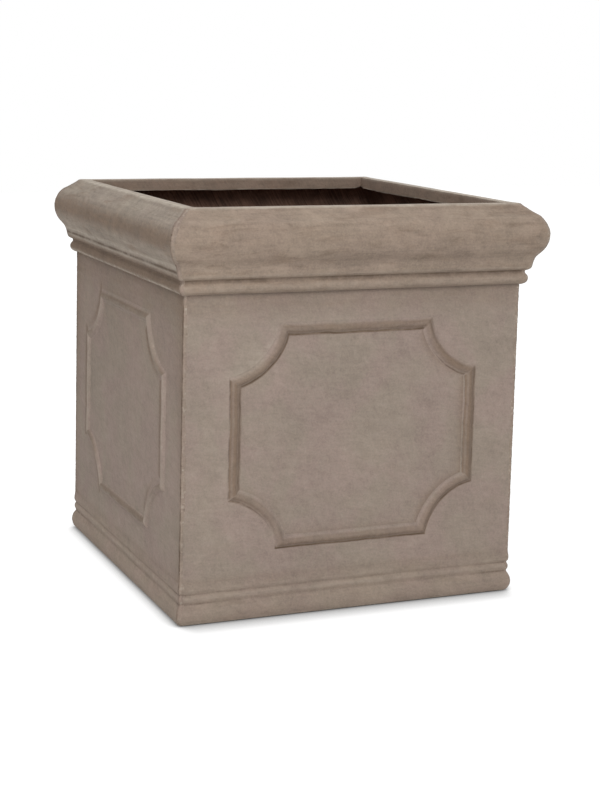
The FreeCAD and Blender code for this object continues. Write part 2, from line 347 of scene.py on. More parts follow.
def grain(points, size, seed):
    """Smooth random values from -1 to 1: a seeded lattice of cells of the size, eased between its corners."""
    lattice = np.random.default_rng(seed).uniform(-1, 1, (32, 32, 32))
    place = np.asarray(points) / size + 1000.5
    cell = np.floor(place).astype(int)
    part = place - cell
    ease = part * part * (3 - 2 * part)
    total = 0.0
    for corner in np.ndindex(2, 2, 2):
        step = np.array(corner)
        weight = np.prod(np.where(step == 1, ease, 1 - ease), axis=-1)
        x, y, z = np.moveaxis((cell + step) % 32, -1, 0)
        total = total + weight * lattice[x, y, z]
    return total


def ripple(points, size, seed):
    """The grain of this size and seed as values from 0 to 1."""
    return 0.5 + 0.5 * grain(points, size, seed)


class Outline:
    """A closed row of (d, z) points round a casting's section, with what each stretch of it is."""

    def __init__(self, stretches, soft, even, *eased):
        """Joins stretches of (points, painted, corner weights), rounds them and spaces them by their bends.

        There are even points to a metre, and more where it bends. Round each eased place (d, z, reach,
        softness) the section is rounded by that softness instead, and where that is next to nothing the
        place is a sharp painted edge with a point of its own.
        """
        lines, flags, weights = zip(*stretches)
        counts = [len(points) - 1 for points in lines]
        sharp = np.concatenate([points[:-1] for points in lines])
        painted = np.repeat(np.array(flags, dtype=float), counts)
        corner = np.concatenate([np.linspace(*ends, count) for ends, count in zip(weights, counts)])
        rows = bell(sharp, soft / DENSE)
        for *place, reach, softness in eased:
            near = np.exp(-((sharp - place) ** 2).sum(axis=1) / reach ** 2)[:, None]
            rows = rows + near * (bell(sharp, softness / DENSE) - rows)
        broad = bends(bell(rows, BEND_SPAN / DENSE))
        density = even + BEND_SPREAD * np.abs(bends(rows))
        step = np.linalg.norm(np.roll(rows, -1, axis=0) - rows, axis=1)
        reach = np.concatenate([[0.0], np.cumsum(step * density)])
        along = np.concatenate([[0.0], np.cumsum(step)])
        wanted = np.linspace(0, reach[-1], int(reach[-1]), endpoint=False)
        edges = []
        for *place, _, softness in eased:
            if softness <= SHARP_EDGE:
                edge = reach[((sharp - place) ** 2).sum(axis=1).argmin()]
                edges.append(np.abs(wanted - edge).argmin())
                wanted[edges[-1]] = edge
        self.places = self.pick(wanted, reach, rows)
        self.across = np.interp(wanted, reach, along)
        self.painted = self.pick(wanted, reach, painted)
        self.painted[edges] = 1.0
        self.corner = self.pick(wanted, reach, corner)
        self.bend = self.pick(wanted, reach, broad)
        heading = np.roll(self.places, -1, axis=0) - np.roll(self.places, 1, axis=0)
        heading = heading / np.linalg.norm(heading, axis=1)[:, None]
        self.normals = np.stack([heading[:, 1], -heading[:, 0]], axis=1)

    @staticmethod
    def pick(wanted, reach, values):
        """Values at the wanted reaches, between the dense points of a closed row."""
        closed = np.concatenate([values, values[:1]])
        if closed.ndim == 1:
            return np.interp(wanted, reach, closed)
        return np.stack([np.interp(wanted, reach, column) for column in closed.T], axis=1)


def cornice_outline():
    """Section of the rim: bead, neck, cove, roll and ogee outside, flat crest, lip and hollow inside."""
    face = BODY + BOND_GAP
    bead_turn = math.degrees(math.acos((NECK - face) / BEAD_RADIUS))
    bead = arc((face, BEAD_HIGH), BEAD_RADIUS, -90, bead_turn)
    cove = arc((NECK, COVE_HIGH), COVE_RADIUS, -90, 0)
    roll = arc((ROLL_OUT, ROLL_HIGH), ROLL_RADIUS, ROLL_LOW_TURN, ROLL_TOP_TURN)
    ogee = arc_over(roll[-1], (CREST, TOP), OGEE_RADIUS, -1)
    hollow_low = WALL_HEAD + SHELL
    hollow_turn = math.degrees(math.asin((hollow_low - ROLL_HIGH) / HOLLOW_RADIUS))
    hollow = arc((LIP_BACK, ROLL_HIGH), HOLLOW_RADIUS, 90, hollow_turn)
    lip_low = TOP - LIP_DEPTH
    outside = [bead, line(bead[-1], cove[0]), cove, line(cove[-1], roll[0]), roll, ogee]
    lip = lines_through((LIP_FACE, TOP), (LIP_FACE, lip_low), (LIP_BACK, lip_low))
    inside = [line((LIP_BACK, lip_low), hollow[0]), hollow]
    inside += lines_through(hollow[-1], (INSIDE, hollow_low), (INSIDE, WALL_HEAD), (face, WALL_HEAD))
    stretches = [(points, 1, (1, 1)) for points in outside]
    stretches.append((line(ogee[-1], (LIP_FACE, TOP)), 1, (1, 0)))
    stretches += [(points, 1, (0, 0)) for points in lip]
    stretches += [(points, 0, (0, 0)) for points in inside]
    stretches.append((line((face, WALL_HEAD), bead[0]), 0, (0, 1)))
    return Outline(stretches, CORNICE_SOFT, CORNICE_EVEN, (*roll[0], EAVES_REACH, EAVES_SOFT))


def swell():
    """Upper bead of the base: a quarter ellipse out of the groove, then half a cosine wave onto the wall."""
    crown = BODY + BEAD_SWELL
    middle = BEAD_GROOVE + SWELL_CROWN * (WALL_FOOT - BEAD_GROOVE)
    turn = np.linspace(0, np.pi / 2, SWELL_POINTS)
    low_d = PLINTH_GROOVE + (crown - PLINTH_GROOVE) * np.sin(turn)
    low_z = middle - (middle - BEAD_GROOVE) * np.cos(turn)
    high_z = np.linspace(middle, WALL_FOOT, SWELL_POINTS)
    high_d = BODY + BEAD_SWELL * (0.5 + 0.5 * np.cos(np.pi * (high_z - middle) / (WALL_FOOT - middle)))
    low = np.stack([low_d, low_z], axis=1)
    high = np.stack([high_d, high_z], axis=1)
    return np.concatenate([low, high[1:]])


def plinth_outline():
    """Section of the base: torus and two beads outside, and the ledge under the floor inside."""
    torus = arc_over((BODY, 0.0), (PLINTH_GROOVE, TORUS_TOP), TORUS_RADIUS, 1)
    lower = arc_over((PLINTH_GROOVE, TORUS_TOP), (PLINTH_GROOVE, BEAD_GROOVE), LOWER_BEAD_RADIUS, 1)
    head = line((BODY, WALL_FOOT), (INSIDE, WALL_FOOT))
    ledge = lines_through((INSIDE, WALL_FOOT), (INSIDE, FLOOR_LOW),
                          (PLINTH_BACK, FLOOR_LOW), (PLINTH_BACK, 0.0))
    foot = line((PLINTH_BACK, 0.0), (BODY, 0.0))
    stretches = [
        (torus, 1, (TORUS_ROUND, GROOVE_ROUND)),
        (lower, 1, (GROOVE_ROUND, 1)),
        (swell(), 1, (1, HEAD_ROUND)),
        (head, 0, (HEAD_ROUND, 0)),
        *((points, 0, (0, 0)) for points in ledge),
        (foot, 0, (0, TORUS_ROUND)),
    ]
    return Outline(stretches, PLINTH_SOFT, PLINTH_EVEN, (BODY, WALL_FOOT, PLINTH_HEAD_REACH, SHARP_EDGE))


def stations():
    """Shares of a half length from -1 to 1, close together at the mitres and a step apart between them."""
    count = int((CAST_HALF - MITRE_STEPS[-1]) / CAST_STEP) + 2
    run = np.linspace(MITRE_STEPS[-1], CAST_HALF, count)[1:]
    share = 1 - np.concatenate([MITRE_STEPS, run]) / CAST_HALF
    return np.concatenate([-share, share[-2::-1]])


def corner_pull(short, radius):
    """How far a rounded corner draws a face in, short of the sharp corner by a distance: a quarter circle."""
    radius = np.maximum(radius, 1e-9)
    level = np.clip(radius - short, 0, radius)
    return radius - np.sqrt(radius ** 2 - level ** 2)


def turned(points, turns):
    """Turns (u, d, z) points of the front about z by quarter turns, as (x, y, z)."""
    u, d, z = np.moveaxis(points, -1, 0)
    x, y = ((u, -d), (d, u), (-u, d), (-d, -u))[turns % 4]
    return np.stack([x, y, z], axis=-1)


def grid_faces(rows, columns, closed, ring=False):
    """Corners of the faces between neighbouring rows and columns.

    A closed grid joins its last column to its first, and a ring its last row to its first as well.
    """
    number = np.arange(rows * columns).reshape(rows, columns)
    if closed:
        number = np.concatenate([number, number[:, :1]], axis=1)
    if ring:
        number = np.concatenate([number, number[:1]])
    quads = np.stack([number[:-1, :-1], number[:-1, 1:], number[1:, 1:], number[1:, :-1]], axis=-1)
    return quads.reshape(-1, 4)


def make_piece(name, points, quads, rings, values, finish):
    """Puts points, four-cornered faces and many-cornered end rings into a mesh, with its painted values."""
    mesh = bpy.data.meshes.new(name)
    points = points.reshape(-1, 3)
    corners = np.concatenate([quads.ravel(), *rings]).astype(np.int32)
    ring_starts = quads.size + np.cumsum([0, *map(len, rings)])[:-1]
    starts = np.concatenate([np.arange(len(quads)) * 4, ring_starts])
    mesh.vertices.add(len(points))
    mesh.vertices.foreach_set("co", points.ravel())
    mesh.loops.add(len(corners))
    mesh.loops.foreach_set("vertex_index", corners)
    mesh.polygons.add(len(starts))
    mesh.polygons.foreach_set("loop_start", starts.astype(np.int32))
    mesh.update(calc_edges=True)
    mesh.validate()
    mesh.shade_smooth()
    mesh.set_sharp_from_angle(angle=math.radians(SHARP_ANGLE))
    for label, row in values.items():
        row = np.asarray(row, dtype=np.float32)
        kind, field = ("FLOAT_VECTOR", "vector") if row.size == points.size else ("FLOAT", "value")
        layer = mesh.attributes.new(label, kind, "POINT")
        layer.data.foreach_set(field, row.ravel())
    piece = bpy.data.objects.new(name, mesh)
    bpy.context.scene.collection.objects.link(piece)
    mesh.materials.append(finish)
    return piece


def closed_piece(name, points, values, finish, flipped):
    """A piece from closed rows of points, with an end ring over its first and last rows.

    Rows whose faces would point in are flipped.
    """
    rows, columns = points.shape[:2]
    quads = grid_faces(rows, columns, closed=True)
    rings = [np.arange(columns)[::-1], np.arange(columns) + (rows - 1) * columns]
    if flipped:
        quads = quads[:, ::-1]
        rings = [ring[::-1] for ring in rings]
    return make_piece(name, points, quads, rings, values, finish)


def set_in_place(piece, body, slot, *nodes):
    """Rides a piece on its body and hides the imported nodes that it stands for; the slot is not used."""
    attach(piece, body)
    if nodes:
        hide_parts(*nodes)


def cast_length(outline, radius, lip_lane):
    """A mitred length as (station, outline, 3) points in u, d, z, and the distance of each from its mitre.

    Each outline point runs along u to its own d, which is the mitre. The corner is rounded in plan by the
    quarter circle of corner_pull. A rim's lip has a lane of its own in the grain: its lower edge wanders
    with it and is nicked where two lips meet.
    """
    d, z = outline.places.T
    rounding = radius * outline.corner
    end = rounding * (1 - math.sqrt(0.5)) + MITRE_CUT
    u = stations()[:, None] * (d - end)
    short = d - np.abs(u)
    height = np.broadcast_to(z, u.shape)
    if lip_lane:
        low_edge = ((LIP_FACE + LIP_BACK) / 2, TOP - LIP_DEPTH)
        edge = capped(3 * capped(1 - np.abs(outline.places - low_edge) / LIP_EDGE).prod(axis=1))
        lane = np.stack([u, 0 * u, 0 * u + lip_lane], axis=-1)
        drift = LIP_DRIFT * grain(lane, 0.045, 11) + LIP_RIPPLE * grain(lane, 0.012, 12)
        nick = NICK_DEEP * capped(1 - (short - MITRE_CUT) / NICK_WIDE)
        height = height + edge * (drift + nick)
    return np.stack([u, d - corner_pull(short, rounding), height], axis=-1), short - end


def uneven(points, outline, amount, turns, clear):
    """Draws the painted faces in by slow waves along the outline's normals, from nothing at the mitres."""
    place = turned(points, turns)
    wave = ripple(place * (1, 1, 2.2), 0.085, 21) + 0.30 * ripple(place, 0.022, 22)
    wave = wave * capped(clear / TRUE_CORNER)
    drawn = points.copy()
    drawn[..., 1:] -= (amount * wave)[..., None] * outline.normals * outline.painted[:, None]
    return drawn


def length_values(points, outline, clear, age, warm, tint_and_shade, groove, calm):
    """Painted values of a length: wash in the hollows and the mitre, wear on the bulges, and wear with
    painted highlight on the crest.

    Groove scales the wash, and calm is 0 where the casting runs on into another. The lip inside the mouth
    is tan and brown, and some of the raw casting shows on it.
    """
    shape = points.shape[:2]
    d, z = outline.places.T
    lip = capped((LIP_FACE + LIP_COAT - d) / LIP_COAT_FADE) * outline.painted
    # The crest is paler: wear and painted highlight on its upward face
    crest = capped((z - TOP + CREST_COAT) / CREST_COAT_FADE) * outline.painted * (1 - lip)
    hollows = np.clip(-outline.bend * WASH_BEND, 0, 0.8) * groove * calm
    mitre = fade(capped(clear), SEAM_SOAK) * outline.painted
    rows = {
        "age": age,
        "warm": warm + (1 - warm) * lip,
        "tint_and_shade": capped(tint_and_shade + (LIP_BROWN - tint_and_shade) * lip - 0.15 * crest),
        "wash_and_shade": capped(hollows + 0.5 * mitre),
        "wear_and_highlight": (capped(outline.bend * WORN_BEND - 0.10) + 0.9 * crest) * calm,
        "raw": np.maximum(1 - outline.painted, LIP_RAW * lip),
    }
    values = {label: np.broadcast_to(row, shape) for label, row in rows.items()}
    along = points[..., 0]
    values["run"] = np.stack([along, np.broadcast_to(outline.across, shape), 0 * along], axis=-1)
    return values


def make_cornices(finish):
    """Four mitred lengths of the rim; those on the flanks are greyer, with brown belts that are partly
    painted shade, and fine lines of painted highlight and shade.
    """
    outline = cornice_outline()
    height = outline.places[:, 1]
    # Brown belt round the roll and brown below it, partly painted shade; the flanks take most of it
    belt = stripe(height, BELT_HIGH, BELT_WIDE) + BAND_BROWN_AND_SHADE * capped((BAND_HIGH - height) / BAND_FADE)
    for turns, side in enumerate(SIDES):
        points, clear = cast_length(outline, CORNICE_CORNER, 0.1 + turns)
        points = uneven(points, outline, RIM_WAVE, turns, clear)
        if side in FLANKS:
            values = length_values(points, outline, clear, age=1.0, warm=0.1, tint_and_shade=0.08 + 0.82 * belt,
                                   groove=0.4, calm=1.0)
            # Flanks: pale wear raised as painted highlight, and lines of painted highlight and painted shade
            # along the roll and bead
            values["wear_and_highlight"] = FLANK_WEAR_AND_HIGHLIGHT * capped(values["wear_and_highlight"] - SHARP_WEAR)
            for drop, wide, pale, dark in FLANK_HIGHLIGHT_AND_SHADE_LINES:
                there = stripe(TOP - height, drop, wide) * outline.painted
                values["wear_and_highlight"] = values["wear_and_highlight"] + pale * there
                values["wash_and_shade"] = capped(values["wash_and_shade"] + dark * there)
        else:
            values = length_values(points, outline, clear, age=1.0, warm=1.0, tint_and_shade=0.18 + 0.14 * belt,
                                   groove=0.7, calm=1.0)
        piece = closed_piece("rim_" + side, turned(points, turns), values, finish, flipped=True)
        set_in_place(piece, "planter", "cast_stone", "cornice_" + side)


def make_plinths(finish):
    """Four mitred lengths of the base, whose heads run on into the walls."""
    outline = plinth_outline()
    calm = capped((WALL_FOOT - outline.places[:, 1]) / PLINTH_CALM)
    age = WALL_AGE + 0.38 * calm
    warm = 0.5 + 0.3 * calm
    tint_and_shade = 0.35 - 0.11 * calm
    for turns, side in enumerate(SIDES):
        points, clear = cast_length(outline, PLINTH_CORNER, None)
        points = uneven(points, outline, BASE_WAVE * calm, turns, clear)
        points[..., 2] = np.maximum(points[..., 2], 0)
        groove = 0.36 + 0.64 * fade(np.abs(clear), GROOVE_FADE)
        values = length_values(points, outline, clear, age, warm, tint_and_shade, groove, calm)
        piece = closed_piece("base_" + side, turned(points, turns), values, finish, flipped=True)
        set_in_place(piece, "planter", "cast_stone", "plinth_" + side)


def full_turn(quarter, low_quarter):
    """A closed row from the quarter rows of its upper and lower halves, mirrored left and right.

    The upper quarter goes from the middle of the top run to the middle of the right run; the loop goes on
    clockwise through the lower right, lower left and upper left quarters.
    """
    flip = np.array([-1.0, 1.0])
    right = np.concatenate([quarter[..., :-1, :], low_quarter[..., :0:-1, :]], axis=-2)
    left = np.concatenate([low_quarter[..., :-1, :] * flip, quarter[..., :0:-1, :] * flip], axis=-2)
    return np.concatenate([right, left], axis=-2)


def frame_quarter(inset):
    """A quarter of the raised frame's line, for a column of insets from its outer foot.

    Half of the top run, the scoop about a centre past the corner, whose radius grows with the inset, and
    half of the side run. The runs and the scoop meet where the circle crosses each run.
    """
    high = (FRAME_HIGH - FRAME_LOW) / 2
    radius = SCOOP_RADIUS + inset
    lean = np.arcsin((SCOOP_BEYOND + inset) / radius)
    reach = radius * np.cos(lean)
    centre_u = FRAME_HALF + SCOOP_BEYOND
    centre_z = high + SCOOP_BEYOND
    top_u = np.linspace(0, 1, RUN_POINTS) * (centre_u - reach)
    top = np.stack([top_u, np.broadcast_to(high - inset, top_u.shape)], axis=-1)
    turn = np.pi + lean + np.linspace(0, 1, SCOOP_POINTS) * (np.pi / 2 - 2 * lean)
    scoop = np.stack([centre_u + radius * np.cos(turn), centre_z + radius * np.sin(turn)], axis=-1)
    side_z = np.linspace(1, 0, SIDE_POINTS) * (centre_z - reach)
    side = np.stack([np.broadcast_to(FRAME_HALF - inset, side_z.shape), side_z], axis=-1)
    return np.concatenate([top[:, :-1], scoop, side[:, 1:]], axis=1)


def frame_lines(inset):
    """Closed lines of the raised frame, one row for each inset from its outer foot."""
    quarter = frame_quarter(np.asarray(inset)[:, None])
    return full_turn(quarter, quarter * np.array([1.0, -1.0]))


def edge_quarter(half, rise):
    """Half of a wall's top edge, then half of its side edge, in as many points as a frame's quarter."""
    shared = SCOOP_POINTS // 2
    along_run = np.linspace(0, TOP_RUN_SHARE, RUN_POINTS)[:-1]
    top_u = np.concatenate([along_run, np.linspace(TOP_RUN_SHARE, 1, shared + 1)]) * half
    beside_run = np.linspace(SIDE_RUN_SHARE, 0, SIDE_POINTS)[1:]
    side_z = np.concatenate([np.linspace(1, SIDE_RUN_SHARE, shared)[1:], beside_run]) * rise
    top = np.stack([top_u, np.full(len(top_u), rise)], axis=-1)
    side = np.stack([np.full(len(side_z), half), side_z], axis=-1)
    return np.concatenate([top, side])


def edge_line(half, high, low):
    """A closed line round a wall's edge, with a point at each corner."""
    return full_turn(edge_quarter(half, high), edge_quarter(half, low) * np.array([1.0, -1.0]))


def ridge_section():
    """The ridge across its width, as insets from its outer foot and heights.

    The height is half a cosine wave raised to a power, which leaves its feet soft.
    """
    across = np.sin(np.linspace(-np.pi / 2, np.pi / 2, RIDGE_POINTS))
    dome = RIDGE_HIGH * capped(np.cos(np.pi / 2 * across)) ** RIDGE_FULLNESS
    inset = RIDGE_WIDTH * (0.5 + 0.5 * across)
    inset = np.concatenate([[-RIDGE_APRON], inset, [RIDGE_WIDTH + RIDGE_APRON]])
    return inset, np.concatenate([[0.0], dome, [0.0]])


def drawn_in(outer, shares):
    """Rows that draw a closed line in towards its middle, where they turn into small circles.

    A row is the line times its share; below about a third it goes over to a circle of 0.2 m times it.
    """
    rows = outer * shares[:, None, None]
    heading = rows / np.linalg.norm(rows, axis=-1, keepdims=True)
    circle = heading * (0.2 * shares)[:, None, None]
    rounded = capped((0.35 - shares) / 0.3)[:, None, None]
    return rows + rounded * (circle - rows)


def wall_rows():
    """A wall as closed rows from the middle of its face, over ridge and edges, to the middle of its back.

    Gives (row, column, 3) points in u, d, z, for each row its kind (0 panel, 1 ridge, 2 field, 3 back),
    and the insets of the ridge's rows.
    """
    middle = (FRAME_HIGH + FRAME_LOW) / 2
    high = WALL_HEAD - middle
    low = middle - WALL_FOOT
    inset, rise = ridge_section()
    ridge = frame_lines(inset[::-1])
    shrink = np.concatenate([np.linspace(0.03, 0.90, 22), [0.93, 0.955, 0.972, 0.985, 0.993]])
    panel = drawn_in(ridge[0], shrink)
    outer = ridge[-1]
    edge = edge_line(BODY - MITRE_CUT - WALL_CORNER * (1 - math.sqrt(0.5)), high, low)
    spread = np.array([0.012, 0.03, 0.055, 0.09, 0.14, 0.2, 0.28, 0.38, 0.5, 0.62, 0.73, 0.82, 0.89, 0.935,
                       0.962, 0.978, 0.988, 0.995, 1.0])
    field = outer + (edge - outer) * spread[:, None, None]
    depth = np.array([0.25, 0.5, 0.75, 1.0]) * SHELL
    sides = np.stack([edge_line(BODY - MITRE_CUT - inward, high, low) for inward in depth])
    back = drawn_in(sides[-1], np.concatenate([[0.985, 0.96], np.linspace(0.92, 0.03, 16)]))
    flat = np.concatenate([panel, ridge, field, sides, back])
    out = np.concatenate([np.full(len(panel), BODY), BODY + rise[::-1], np.full(len(field), BODY),
                          BODY - depth, np.full(len(back), INSIDE)])
    kind = np.repeat([0, 1, 2, 3, 3], [len(panel), len(ridge), len(field), len(sides), len(back)])
    u, z = np.moveaxis(flat, -1, 0)
    d = out[:, None] - corner_pull(BODY - np.abs(u), WALL_CORNER) * (kind < 3)[:, None]
    return np.stack([u, d, z + middle], axis=-1), kind, inset[::-1]


def along_frame(rows):
    """Metres along the frame's middle line from the middle of its top run, the same both ways round."""
    crest = rows[len(rows) // 2][:, [0, 2]]
    step = np.linalg.norm(np.roll(crest, -1, axis=0) - crest, axis=-1)
    reach = np.concatenate([[0.0], np.cumsum(step)])
    return np.minimum(reach[:-1], reach[-1] - reach[:-1])


def unit_out(rows):
    """Unit vectors in the wall's face that point out of the frame, across each closed row of its ridge."""
    flat = rows[..., [0, 2]]
    heading = np.roll(flat, -1, axis=1) - np.roll(flat, 1, axis=1)
    heading = heading / np.linalg.norm(heading, axis=-1, keepdims=True)
    return np.stack([-heading[..., 1], heading[..., 0]], axis=-1)


def front_stain_and_shade(out, inset, share):
    """Wash and tint on the ridge of a front or back wall.

    The stain is brown and, where it deepens across the ridge towards its lower and right-hand foot and ends
    there in a dark line, painted shade on the flanks turned from the light. It covers the side runs whole,
    and a soft brown line of painted shade lies along the upper right scoop.
    """
    # Painted shade: darker flanks and dark foot lines on the side turned from the light
    facing = out @ SHADE_SIDE
    outer = capped(facing) ** 0.6
    inner = capped(-facing) ** 0.6
    runs = capped((np.abs(out[..., 0]) - 0.97) / 0.03)
    wash_and_shade = (np.maximum(outer, 0.7 * runs) * stripe(inset, 0, FOOT_LINE)
            + np.maximum(inner, 0.7 * runs) * stripe(inset, RIDGE_WIDTH, FOOT_LINE))
    over = capped(4 * np.minimum(share, 1 - share))
    deep = outer * (1 - share) + inner * share
    covered = (0.84 + 0.30 * np.cos(4 * np.pi * share)) * runs * capped(3 * over)
    tint_and_shade = np.maximum((0.38 + 0.50 * deep) * np.maximum(over, deep), covered)
    scoop = capped(out.sum(axis=-1) / math.sqrt(2)) ** 4
    return wash_and_shade, tint_and_shade + 0.45 * scoop * stripe(share, 0.32, 0.28)


def flank_stain(out, share):
    """Wash and tint on the ridge of a side wall: a belt along its top and bottom runs."""
    from_top = np.where(out[..., 1] > 0, share, 1 - share)
    belt = stripe(from_top, 0.42, 0.28) * np.abs(out[..., 1]) ** 2
    return 0.60 * belt, belt


def wall_paint(points, kind, inset, fronted):
    """Wash, tint and wear of a wall: the stain and painted shade of its ridge, which fade over the panel and
    the field.

    On the front and back the brown gathers in the panel by the right-hand and lower runs, and pale strokes
    lie outside the upper left scoop. On the sides a soft brown line of painted shade lies past the foot of
    each ridge on one side, the upright edges are browner, and the upper part is darker, as painted shade
    under the rim.
    """
    ridge = kind == 1
    field = (kind == 2)[:, None]
    panel = (kind == 0)[:, None]
    u, z = points[..., 0], points[..., 2]
    to_field = np.linalg.norm(points - points[ridge][-1], axis=-1)
    to_panel = np.linalg.norm(points - points[ridge][0], axis=-1)
    out = unit_out(points[ridge])
    inset = inset[:, None]
    share = capped(inset / RIDGE_WIDTH)
    wash_and_shade = np.zeros(u.shape)
    tint_and_shade = np.zeros(u.shape)
    if fronted:
        wash_and_shade[ridge], tint_and_shade[ridge] = front_stain_and_shade(out, inset, share)
        gather = 0.18 + 0.50 * capped(out[0, :, 0]) + 0.25 * capped(-out[0, :, 1])
        smear = capped(out[-1] @ SMEAR_SIDE) ** 3
        head = 0.42
    else:
        wash_and_shade[ridge], tint_and_shade[ridge] = flank_stain(out, share)
        gather = 0.05
        smear = 0.0
        head = 0.24
    wash_and_shade = np.where(field, wash_and_shade[ridge][-1] * fade(to_field, FOOT_FADE), wash_and_shade)
    wash_and_shade = np.where(panel, wash_and_shade[ridge][0] * fade(to_panel, FOOT_FADE), wash_and_shade)
    high = head * capped((z - HEAD_LOW) / HEAD_RISE)
    low = 0.35 * fade(z - WALL_FOOT, BASE_FADE)
    tint_and_shade = np.where(field, 0.10 * fade(to_field, FIELD_FADE) + high + low, tint_and_shade)
    tint_and_shade = np.where(panel, gather * fade(to_panel, PANEL_FADE), tint_and_shade)
    wear_and_highlight = np.where(field, 0.55 * smear * fade(to_field, PANEL_FADE), 0)
    if not fronted:
        # Painted shade: soft brown bands beside the ridge, past its foot on one side
        behind = 0.70 * capped(out[0, :, 0]) ** 1.5
        before = 0.65 * capped(-out[-1, :, 0]) ** 1.5
        tint_and_shade = tint_and_shade + np.where(panel, behind * stripe(to_panel, SHADE_OFF, SHADE_WIDE), 0)
        tint_and_shade = tint_and_shade + np.where(field, before * stripe(to_field, SHADE_OFF, SHADE_WIDE), 0)
        tint_and_shade = tint_and_shade + np.where(field, 0.50 * fade(BODY - np.abs(u), EDGE_FADE), 0)
        # Darker towards the top: painted shade under the rim
        tint_and_shade = tint_and_shade + np.where(field | panel, 0.28 * capped((z - UPPER_LOW) / UPPER_RISE), 0)
    return capped(wash_and_shade), capped(tint_and_shade), wear_and_highlight


def make_walls(finish):
    """Four cast walls with the raised frame on their faces, which wave, and brushed rough backs."""
    points, kind, inset = wall_rows()
    u, d, z = np.moveaxis(points, -1, 0)
    face = np.broadcast_to((kind < 3)[:, None], u.shape)
    crest = np.where((kind == 1)[:, None], capped((d - BODY) / RIDGE_HIGH) ** 2, 0)
    settled = capped((z - WALL_FOOT) / WALL_CALM) * capped((BODY - np.abs(u)) / TRUE_CORNER)
    bare = (np.abs(u) < BACK_ROUGH_HALF) * (kind == 3)[:, None]
    ridge = np.flatnonzero(kind == 1)
    out = unit_out(points[ridge])
    run = np.stack([u, z, 0 * u], axis=-1)
    frame_run = np.broadcast_arrays(along_frame(points[ridge]), inset[:, None], u[ridge])
    run[ridge] = np.stack(frame_run, axis=-1)
    for turns, side in enumerate(SIDES):
        fronted = side not in FLANKS
        wash_and_shade, tint_and_shade, wear_and_highlight = wall_paint(points, kind, inset, fronted)
        place = turned(points, turns)
        wave = ripple(place, 0.11, 31) + 0.3 * ripple(place, 0.03, 32)
        rough = BACK_ROUGH * ripple(place, 0.05, 33) * bare
        drawn = points.copy()
        drawn[..., 1] += np.where(face, -WALL_WAVE * wave * settled, rough)
        drawn[..., 1] -= crest * RIDGE_HIGH * RIDGE_DENT * ripple(place, 0.028, 34)
        sway = 0.0008 * grain(place[ridge], 0.020, 35) + 0.0005 * grain(place[ridge], 0.007, 36)
        drawn[np.ix_(ridge, range(u.shape[1]), (0, 2))] += sway[..., None] * out
        # Pale wear and painted highlight along the ridge crests of the side walls
        wear_and_highlight = wear_and_highlight + crest * (0.0 if fronted else 0.45)
        values = {"age": 0 * u + WALL_AGE, "warm": 0 * u + 0.5, "tint_and_shade": tint_and_shade, "wash_and_shade": wash_and_shade, "wear_and_highlight": wear_and_highlight,
                  "raw": ~face, "run": run}
        piece = closed_piece("panel_" + side, turned(drawn, turns), values, finish, flipped=False)
        set_in_place(piece, "planter", "cast_stone", "wall_" + side)


def seam_path():
    """The outer line that a seam follows from the floor to the crest.

    Gives rows of d, z, corner radius and the two parts of the outward normal, and the metres along it.
    """
    wall_z = np.linspace(WALL_FOOT, BEAD_HIGH - BEAD_RADIUS, SEAM_WALL_POINTS)
    level = np.ones(SEAM_WALL_POINTS)
    wall = np.stack([BODY * level, wall_z, WALL_CORNER * level, level, 0 * level])

    def outer_line(outline, radius):
        """The painted part of an outline that has a rounded corner."""
        kept = (outline.corner > 0.79) & (outline.painted > 0.5) & (outline.places[:, 1] < TOP - 0.0004)
        places, normals = outline.places[kept], outline.normals[kept]
        return np.stack([*places.T, radius * outline.corner[kept], *normals.T])

    base = outer_line(plinth_outline(), PLINTH_CORNER)
    rim = outer_line(cornice_outline(), CORNICE_CORNER)
    path = np.concatenate([base, wall, rim], axis=1)
    step = np.concatenate([[0.0], np.cumsum(np.hypot(*np.diff(path[:2], axis=1)))])
    along = np.linspace(0, step[-1], SEAM_POINTS)
    return np.stack([np.interp(along, step, row) for row in path]), along


def seam_paint(spot, flank, crumb, ends):
    """Painted values of a seam: brown stain on its flank, dark flecks, and pale crumbs on its other face.

    Flank is the distance towards the flank, and the stain is weaker at the ends, on the base and the rim.
    """
    stain = capped(0.2 + flank / STAIN_RISE) * capped(0.75 + 0.6 * grain(spot, 0.011, 48))
    stain = stain * (1 - 0.6 * ends)
    fleck = capped(1.6 * grain(spot, 0.0040, 49) - 0.45)
    wear_and_highlight = capped(1.6 * crumb - 0.8) * capped(0.7 - flank / CRUMB_FALL)
    none = 0 * flank
    return {"age": none + 0.4, "warm": none + 1, "tint_and_shade": capped(0.25 + 0.6 * stain),
            "wash_and_shade": capped(0.95 * stain + 0.7 * fleck), "wear_and_highlight": wear_and_highlight, "raw": none, "run": spot}


